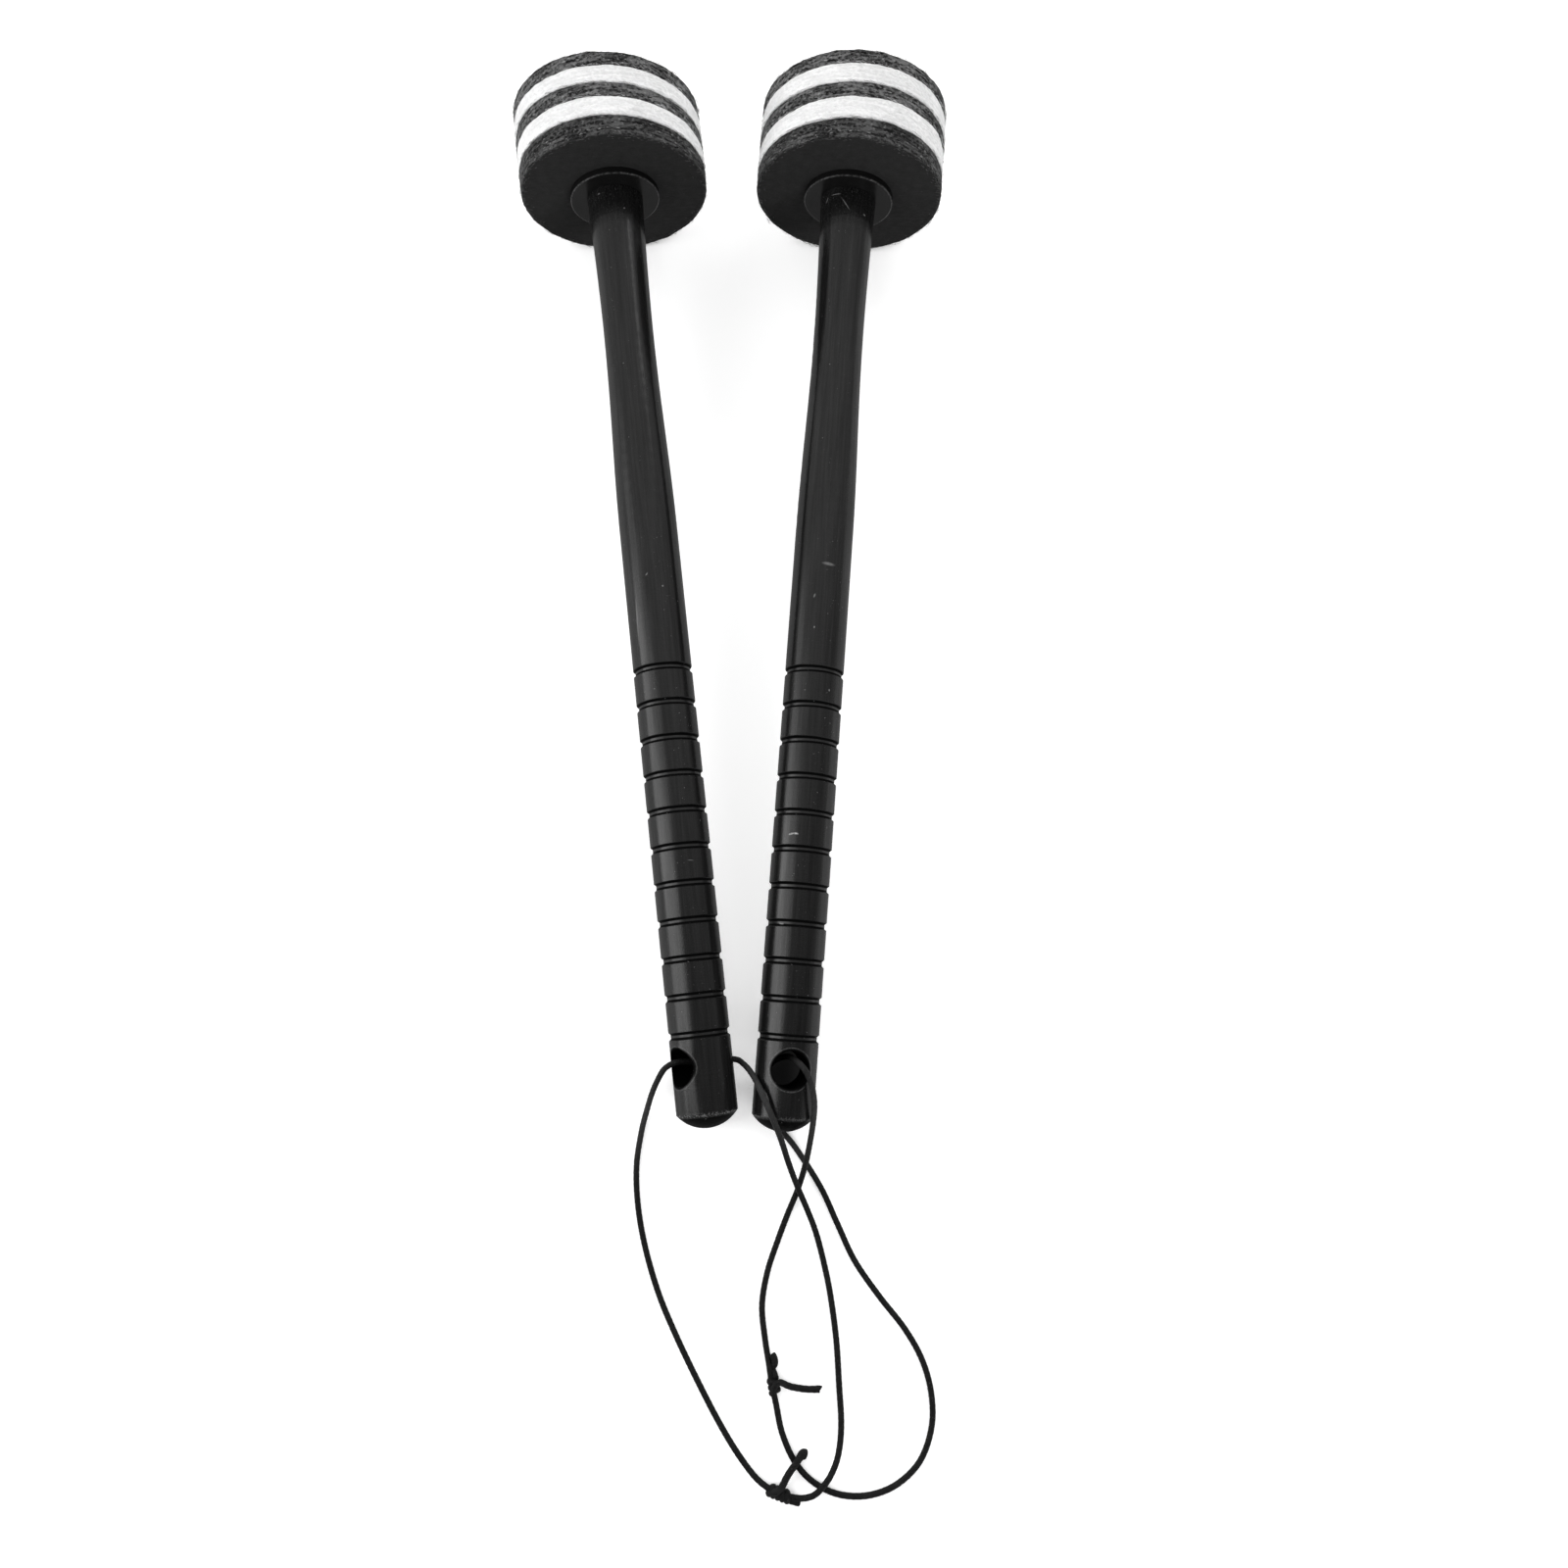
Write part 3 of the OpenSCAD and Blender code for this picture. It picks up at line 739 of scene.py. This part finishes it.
def tube(curve, radius, ends=(1.0, 1.0), swell=(0.0, 0.0), from_hole=0.0):
    """Points, faces and places of a twisted cord along a curve.

    ends is how thick the end rings are, swell how much thicker the cord gets towards its ends.
    """
    length = sum((b - a).length for a, b in zip(curve, curve[1:]))
    points = []
    places = []
    along = 0.0
    spoke = None
    last = len(curve) - 1
    for index, middle in enumerate(curve):
        ahead = (curve[min(index + 1, last)] - curve[max(index - 1, 0)]).normalized()
        if spoke is None:
            spoke = ahead.cross(SIDEWAYS).normalized()
        spoke = (spoke - ahead * spoke.dot(ahead)).normalized()
        other = ahead.cross(spoke)
        if index:
            along += (middle - curve[index - 1]).length
        thickness = ends[0] if index == 0 else ends[1] if index == last else 1.0
        thickness += swell[0] * max(0, 1 - along / SWELL_L)
        thickness += swell[1] * max(0, 1 - (length - along) / SWELL_L)
        for side in range(TUBE_SIDES):
            angle = 2 * math.pi * side / TUBE_SIDES
            twist = angle - 2 * math.pi * along / LAY_L
            ridge = 1 - STRAND_RELIEF + STRAND_RELIEF * math.cos(STRANDS * twist)
            reach = radius * thickness * ridge
            points.append(middle + (spoke * math.cos(angle) + other * math.sin(angle)) * reach)
            places.append((twist * radius, from_hole + along))
    faces = []
    for index in range(last):
        for side in range(TUBE_SIDES):
            here = index * TUBE_SIDES + side
            beside = index * TUBE_SIDES + (side + 1) % TUBE_SIDES
            faces.append((here, beside, beside + TUBE_SIDES, here + TUBE_SIDES))
    faces.append(tuple(range(TUBE_SIDES - 1, -1, -1)))
    faces.append(tuple(range(last * TUBE_SIDES, (last + 1) * TUBE_SIDES)))
    return points, faces, places


def to_frame(points):
    """Route points in millimetres from the butts, to metres in the frame and on or above the table."""
    placed = [(point + CORD_START) * MM for point in points]
    for point in placed:
        point.z = max(point.z, 0)
    return placed


def knot_path(middle, ahead, stub, tail, first_angle, turns, pitch):
    """The path of a knot: in from its stub, round the cord in tight turns, and out along its tail."""
    level = ahead.cross(UPWARD).normalized()
    rise = level.cross(ahead)
    stub = [Vector(point) for point in stub]
    forward = 1 if (stub[0] - middle).dot(ahead) < 0 else -1
    coil = []
    for step in range(int(turns * KNOT_TURN_STEPS) + 1):
        turn = step / KNOT_TURN_STEPS
        angle = first_angle + 2 * math.pi * turn
        shift = forward * pitch * (turn - turns / 2)
        spoke = level * math.cos(angle) + rise * math.sin(angle)
        coil.append(middle + ahead * shift + spoke * KNOT_TURN_R)
    return stub + coil + [Vector(point) for point in tail]


def add_cord(stick, route, knot_index, middle, stub, tail, first_angle, turns, pitch, girth, swell, slant):
    """A stick's cord along its route, and the knot that closes it, its tail cut off at a slant."""
    curve = smooth_curve(route, CORD_STEP, True)
    points, faces, places = tube(curve, CORD_D / 2)
    cord = add_mesh(stick.name + "_cord", to_frame(points), faces, stick.body, [CORD_BLACK])
    store_places(cord, "cord", places)
    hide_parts(stick.name + "_wrist_cord")

    ahead = (Vector(route[knot_index + 1]) - Vector(route[knot_index - 1])).normalized()
    path = knot_path(Vector(middle), ahead, stub, tail, first_angle, turns, pitch)
    wraps = smooth_curve(path, KNOT_STEP, False)
    points, faces, places = tube(wraps, CORD_D / 2 * girth, KNOT_ENDS, swell, KNOT_FROM_HOLE)
    tip_ahead = (wraps[-1] - wraps[-2]).normalized()
    tip_side = tip_ahead.cross(UPWARD).normalized()
    for point in points[-TUBE_SIDES:]:
        point += tip_ahead * (point - wraps[-1]).dot(tip_side) * slant
    knot = add_mesh(stick.name + "_knot", to_frame(points), faces, stick.body, [CORD_BLACK])
    store_places(knot, "cord", places)
    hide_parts(stick.name + "_cord_knot")

    line = to_frame(curve)


add_cord(
    RIGHT, RIGHT_ROUTE, knot_index=17, middle=RIGHT_KNOT, stub=RIGHT_STUB, tail=RIGHT_TAIL,
    first_angle=math.pi, turns=2.5, pitch=1.8, girth=1.06, swell=(0.15, 0.1), slant=-0.7,
)
add_cord(
    LEFT, LEFT_ROUTE, knot_index=18, middle=LEFT_KNOT, stub=LEFT_STUB, tail=LEFT_TAIL,
    first_angle=0, turns=4, pitch=1.45, girth=1.15, swell=(0.1, 0.5), slant=0,
)


# Felt discs: their holes, from the first to the closed last one (mm), and the steps of their meshes
CORE_R = 0.05
HOLE_RS = [TENON_HOLE_R, TENON_HOLE_R, TENON_HOLE_R, CLAMP_HOLE_R, CORE_R]
FACE_STEPS = 7
WALL_STEPS = 12
TURNS = 360

# Felt discs: uneven radius, flat face's end inside the wall, wall's end from the face (mm)
UNEVEN_R = (-0.15, 0.1)
FACE_MARGIN = 1.8
WALL_MARGIN = 0.6

# Felt discs: the rounded rim, from the face to the wall: in from the wall, off the face (mm), share of wall
ROUNDING = [(0.55, 0.0, 0.4), (0.30, 0.06, 0.8), (0.12, 0.20, 1.0), (0.03, 0.42, 1.0)]

# Felt discs: noises of the walls and of the seams, as heights (mm) and fineness
BULGES = [(0.14, 0.12), (0.16, 0.7), (0.14, 1.9)]
BULGE_SPREAD = 50
SEAM_WAVES = [(0.30, 1.0), (0.14, 3.7), (0.08, 9.1)]
SEAM_WAVE_R = 5
SEAM_WAVE_STEP = 9
LEFT_WAVE_SHIFT = 40

# How the seams have settled, from the near face to the far one: shift along the stick (mm)
SEAM_SHIFTS = {
    "left": [0, -0.5, 0.2, 0.3, 0.4, 0.35],
    "right": [0, -0.5, 0.3, 0.5, 0.3, 0.35],
}

# How the seams lean, from the near face to the far one: mm along the stick per mm across it
SEAM_LEANS = {
    "left": [-0.02, -0.04, -0.05, -0.07, -0.05, -0.05],
    "right": [0.015, 0.03, 0.055, 0.035, 0.04, 0.03],
}

# Loose fibres: how many on a wall and as lint on a near face, sides of a thread, and its tips' thickness
BLACK_FUZZ = 480
WHITE_FUZZ = 360
RIM_LINT = 170
THREAD_SIDES = 3
TIP_SHARE = 0.5

# Loose fibres on a wall: share at the seams, distance from a seam there and elsewhere (mm), share of lint
SEAM_FUZZ_SHARE = 0.5
SEAM_FUZZ_MARGIN = 0.15
WALL_FUZZ_MARGIN = 0.3
LINT_FUZZ_SHARE = 0.3

# Loose fibres: pieces of a thread on a wall and on a face, how far off the felt it lies and lint arches (mm)
FUZZ_PIECES = 4
LINT_PIECES = 3
OFF_FELT = 0.05
LINT_LOFT = 0.15

# Loose fibres: where in a half wave a wall thread's arch starts, and lint's distance from the rim (mm)
ARCH_START = 0.1
RIM_MARGIN = 0.3

# A felt disc's materials, in order
BODY_SLOT = 0
FIBRE_SLOT = 1
LINT_SLOT = 2


def layered_noise(spot, waves):
    return sum(height * noise.noise(spot * fineness) for height, fineness in waves)


def seam_wave(stick, seam, angle):
    """How far the seam between two felt discs strays from flat at an angle round the head."""
    level = seam * SEAM_WAVE_STEP + (LEFT_WAVE_SHIFT if stick is LEFT else 0)
    spot = Vector((math.cos(angle) * SEAM_WAVE_R, math.sin(angle) * SEAM_WAVE_R, level))
    return layered_noise(spot, SEAM_WAVES)


def seam_lean(stick, seam, angle):
    """How far a seam's rim has settled along the stick at an angle round the head."""
    return SEAM_SHIFTS[stick.name][seam] + SEAM_LEANS[stick.name][seam] * DISC_R * math.cos(angle)


class FeltDisc:
    """One felt disc: rounded, slightly uneven and furry at its cut wall."""

    def __init__(self, stick, number):
        self.stick = stick
        self.number = number
        self.dice = random.Random(f"{stick.name} {number}")
        self.black = number % 2 == 1
        self.low = HEAD_T + sum(stick.disc_ts[:number - 1])
        self.high = self.low + stick.disc_ts[number - 1]
        self.outer = DISC_R + self.dice.uniform(*UNEVEN_R)
        self.points = []
        self.places = []
        self.walls = []
        self.faces = []
        self.slots = []

    def add_point(self, angle, reach, along, wall):
        across, up = math.cos(angle) * reach, math.sin(angle) * reach
        self.points.append(self.stick.place(across, up, along))
        self.places.append((angle * self.outer, along) if wall > 0.5 else (across, up))
        self.walls.append(wall)

    def section(self):
        """From the hole's near edge out over the near face, up the wall and back over the far face."""
        hole_r = HOLE_RS[self.number - 1]
        face_w = self.outer - FACE_MARGIN - hole_r
        face = [hole_r + face_w * step / FACE_STEPS for step in range(FACE_STEPS + 1)]
        wall_low = self.low + WALL_MARGIN
        wall_h = self.high - WALL_MARGIN - wall_low
        wall = [wall_low + wall_h * step / WALL_STEPS for step in range(WALL_STEPS + 1)]
        line = [(r, self.low, 0.0) for r in face]
        line += [(self.outer - inset, self.low + rise, share) for inset, rise, share in ROUNDING]
        line += [(self.outer, along, 1.0) for along in wall]
        line += [(self.outer - inset, self.high - rise, share) for inset, rise, share in ROUNDING[::-1]]
        line += [(r, self.high, 0.0) for r in face[::-1]]
        return line

    def across_wall(self, along, low, high):
        """A number that goes from low at the disc's near seam to high at its far one."""
        share = (along - self.low) / (self.high - self.low)
        return low * (1 - share) + high * share

    def lean_at(self, angle, along):
        low = seam_lean(self.stick, self.number - 1, angle)
        high = seam_lean(self.stick, self.number, angle)
        return self.across_wall(along, low, high)

    def add_body(self):
        section = self.section()
        count = len(section)
        seed = Vector([self.dice.uniform(-BULGE_SPREAD, BULGE_SPREAD) for _ in range(3)])
        for turn in range(TURNS):
            angle = 2 * math.pi * turn / TURNS
            low_wave = seam_wave(self.stick, self.number - 1, angle)
            high_wave = seam_wave(self.stick, self.number, angle)
            for r, along, wall in section:
                spot = Vector((math.cos(angle) * r, math.sin(angle) * r, along)) + seed
                bulge = layered_noise(spot, BULGES)
                wave = self.across_wall(along, low_wave, high_wave)
                shift = wave * wall + self.lean_at(angle, along) * (r / self.outer) ** 2
                self.add_point(angle, r + bulge * wall, along + shift, wall)
        for turn in range(TURNS):
            here = turn * count
            there = (turn + 1) % TURNS * count
            for step in range(count):
                after = (step + 1) % count
                self.faces.append((here + step, there + step, there + after, here + after))
                self.slots.append(BODY_SLOT)

    def add_fibre(self, line, thick, slot):
        """A loose fibre through points of angle, reach and along: a thin thread, closed at both ends."""
        start = len(self.points)
        last = len(line) - 1
        for index, (angle, reach, along) in enumerate(line):
            girth = thick * (TIP_SHARE if index in (0, last) else 1.0)
            for corner in range(THREAD_SIDES):
                turn = 2 * math.pi * corner / THREAD_SIDES
                self.add_point(angle, reach + girth * math.cos(turn), along + girth * math.sin(turn), 1.0)
        sides = []
        for index in range(last):
            ring = start + index * THREAD_SIDES
            for corner in range(THREAD_SIDES):
                here = ring + corner
                beside = ring + (corner + 1) % THREAD_SIDES
                sides.append((here, beside, beside + THREAD_SIDES, here + THREAD_SIDES))
        last_ring = start + last * THREAD_SIDES
        sides.append(tuple(range(start + THREAD_SIDES - 1, start - 1, -1)))
        sides.append(tuple(range(last_ring, last_ring + THREAD_SIDES)))
        self.faces += sides
        self.slots += [slot] * len(sides)

    def add_fuzz(self, count):
        """Loose fibres on the wall, many of them at its seams."""
        dice = self.dice
        for _ in range(count):
            angle = dice.uniform(0, 2 * math.pi)
            if dice.random() < SEAM_FUZZ_SHARE:
                along = dice.choice((self.low + SEAM_FUZZ_MARGIN, self.high - SEAM_FUZZ_MARGIN))
            else:
                along = dice.uniform(self.low + WALL_FUZZ_MARGIN, self.high - WALL_FUZZ_MARGIN)
            length = dice.uniform(0.8, 3.2)
            slope = dice.uniform(-0.9, 0.9)
            loft = dice.uniform(0.05, 0.5)
            curl = dice.uniform(-0.3, 0.3)
            lean = self.lean_at(angle, along)
            line = []
            for bit in range(FUZZ_PIECES + 1):
                t = bit / FUZZ_PIECES
                arch = math.sin(math.pi * (ARCH_START + (1 - 2 * ARCH_START) * t))
                reach = self.outer + OFF_FELT + loft * arch
                rise = slope * t + curl * math.sin(2 * math.pi * t)
                line.append((angle + length * t / self.outer, reach, along + rise + lean))
            thick = dice.uniform(0.025, 0.055)
            slot = LINT_SLOT if dice.random() < LINT_FUZZ_SHARE else FIBRE_SLOT
            self.add_fibre(line, thick, slot)

    def add_rim_lint(self, count):
        """Lint on the near face, close to its rim."""
        dice = self.dice
        for _ in range(count):
            angle = dice.uniform(0, 2 * math.pi)
            reach = self.outer - RIM_MARGIN - abs(dice.gauss(0, 1.0))
            length = dice.uniform(0.3, 1.4)
            drift = dice.uniform(-0.6, 0.6)
            lean = self.lean_at(angle, self.low)
            line = []
            for bit in range(LINT_PIECES + 1):
                t = bit / LINT_PIECES
                above = OFF_FELT + LINT_LOFT * math.sin(math.pi * t)
                line.append((angle + length * t / self.outer, reach + drift * t, self.low + lean - above))
            self.add_fibre(line, dice.uniform(0.02, 0.045), LINT_SLOT)

    def finish(self):
        name = f"{self.stick.name}_felt_{self.number}"
        black = NEAR_FELT if self.number == 1 else BLACK_FELT
        materials = [black, BLACK_FIBRE, LINT] if self.black else [WHITE_FELT, WHITE_FIBRE, WHITE_FIBRE]
        piece = add_mesh(name, self.points, self.faces, self.stick.body, materials)
        piece.data.polygons.foreach_set("material_index", self.slots)
        store_places(piece, "felt", self.places)
        piece.data.attributes.new("wall", "FLOAT", "POINT").data.foreach_set("value", self.walls)
        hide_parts(f"{self.stick.name}_felt_disc_{self.number}")


for stick in STICKS:
    for number in range(1, DISC_COUNT + 1):
        disc = FeltDisc(stick, number)
        disc.add_body()
        disc.add_fuzz(BLACK_FUZZ if disc.black else WHITE_FUZZ)
        if number == 1:
            disc.add_rim_lint(RIM_LINT)
        disc.finish()


# Materials of the turned and bought pieces, which keep the part's own shapes
def dress(node, material):
    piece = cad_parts[node]
    if not piece.material_slots:
        piece.data.materials.append(material)
    for slot in piece.material_slots:
        slot.material = material


for stick in STICKS:
    dress(stick.name + "_handle", handle_plastic(stick))
    dress(stick.name + "_backing_washer", washer_plastic(stick))
    dress(stick.name + "_clamp_washer", STEEL)
    dress(stick.name + "_head_screw", STEEL)


# Floor: half its width, how far below the table it lies, the reach of its contact shade (m) and its samples
FLOOR_HALF = 3.0
FLOOR_DROP = 0.0001
SHADE_REACH = 0.014
SHADE_SAMPLES = 6

# Floor: from and to how open it is, and how pale it is and how much it glows there; less open floor is
# painted darker, a painted contact shade
FLOOR_PALE = (0.08, 0.4, 0.3, 0.7)
FLOOR_GLOW = (0.1, 0.45, 0.0, 0.58)

# Floor: from and to how far from the spot under the right stick's hole (m), and how light it is there: a
# painted shadow
HOLE_SPOT = (0.0065, 0.009, 0.015, 1.0)

# World: from and to how far a direction points ahead, right or up, and the levels of light there
ROOM_LEVELS = (-0.16, 0.28, 0.09, 1.16)
FAR_LEVELS = (0.45, 0.85, 0.0, 0.5)
RIGHT_LEVELS = (0.45, 0.95, 1.0, 0.65)
BACKDROP_RIGHT = (0.1, 0.45, 1.0, 0.6)
BACKDROP_NEAR = (-0.45, -0.25, 1.0, 0.0)
BACKDROP_TOP = (0.3, 0.36, 1.0, 0.0)

# Lamps: name, place, aim, width, height (m) and power (W)
LAMPS = [
    ("window", (-0.62, -0.087, 0.28), (0, -0.087, 0.28), 0.41, 0.39, 2.25),
    ("window_side", (-0.62, 0.183, 0.30), (0, 0.183, 0.30), 0.15, 0.4, 0.25),
    ("skylight", (-0.62, -0.217, 0.77), (0, -0.217, 0.77), 0.31, 0.62, 2.65),
    ("skylight_side", (-0.62, 0.05, 0.85), (0, 0.05, 0.85), 0.24, 0.75, 0.95),
    ("skylight_top", (-0.62, -0.15, 1.38), (0, -0.15, 1.38), 0.45, 0.6, 1.1),
    ("backlight", (0.75, 1.35, 0.85), (0, 0.17, 0.03), 0.8, 0.6, 9),
    ("fill", (0.75, -1.0, 0.5), (0, 0.1, 0.03), 0.5, 0.4, 8.5),
]


def add_floor():
    """A white floor that keeps a soft painted shade where the sticks touch it, and a painted shadow under
    the right stick's hole.
    """
    half = FLOOR_HALF
    corners = [(-half, -half, 0), (half, -half, 0), (half, half, 0), (-half, half, 0)]
    mesh = bpy.data.meshes.new("floor")
    mesh.from_pydata(corners, [], [(0, 1, 2, 3)])
    floor = bpy.data.objects.new("floor", mesh)
    scene.collection.objects.link(floor)
    floor.location.z = -FLOOR_DROP
    shader = Shader("pale_floor")
    shade = shader.add("ShaderNodeAmbientOcclusion", {"Distance": SHADE_REACH}, samples=SHADE_SAMPLES)
    open_sky = shade.outputs["AO"]
    away = shader.add("ShaderNodeVectorMath", operation="DISTANCE")
    shader.give(away.inputs[0], shader.add("ShaderNodeTexCoord").outputs["Object"])
    away.inputs[1].default_value = RIGHT.place(-BAR_R * math.sin(RIGHT_ROLL), -BAR_R, HOLE_FROM_BUTT)
    # A painted shadow: the floor is painted dark at the spot under the right stick's hole
    lit = shader.between(away.outputs["Value"], *HOLE_SPOT)
    # Painted contact shade: the floor's colour and glow fall where little of the sky is open
    paleness = shader.product(lit, shader.between(open_sky, *FLOOR_PALE))
    shader.set(Base_Color=shader.mix(paleness, grey(0.0), grey(1.0)))
    shader.set(Roughness=0.9, Specular_IOR_Level=0.0)
    glow = shader.product(shader.seen_rays(), lit, shader.between(open_sky, *FLOOR_GLOW))
    shader.set(Emission_Color=grey(1.0), Emission_Strength=glow)
    mesh.materials.append(shader.material)


def add_area_light(name, place, aim, width, height, power):
    """A rectangular lamp at a place, aimed at another."""
    data = bpy.data.lights.new(name, "AREA")
    data.shape = "RECTANGLE"
    data.size = width
    data.size_y = height
    data.energy = power
    light = bpy.data.objects.new(name, data)
    scene.collection.objects.link(light)
    light.location = place
    light.rotation_euler = (Vector(aim) - Vector(place)).to_track_quat("-Z", "Y").to_euler()


def add_world():
    """A studio that is dim at the butts' end and to the right, and brighter beyond the heads.

    Low round the floor stands a pale backdrop, greyer to the right. The camera, mirrors and glass see it,
    and it gives no other light.
    """
    world = bpy.data.worlds.new("studio")
    world.use_nodes = True
    sky = Nodes(world.node_tree, "Background")
    direction = sky.add("ShaderNodeTexCoord").outputs["Generated"]
    toward = sky.add("ShaderNodeSeparateXYZ", {"Vector": direction}).outputs
    ahead = toward["Y"]
    level = sky.math("ADD", sky.between(ahead, *ROOM_LEVELS), sky.between(ahead, *FAR_LEVELS))
    level = sky.product(level, sky.between(toward["X"], *RIGHT_LEVELS))
    backdrop = sky.largest(sky.between(toward["X"], *BACKDROP_RIGHT), sky.between(ahead, *BACKDROP_NEAR))
    backdrop = sky.product(backdrop, sky.between(toward["Z"], *BACKDROP_TOP))
    level = sky.largest(level, sky.product(sky.seen_rays(), backdrop))
    sky.set(Color=grey(1.0), Strength=level)
    scene.world = world


add_floor()
add_world()
for lamp in LAMPS:
    add_area_light(*lamp)
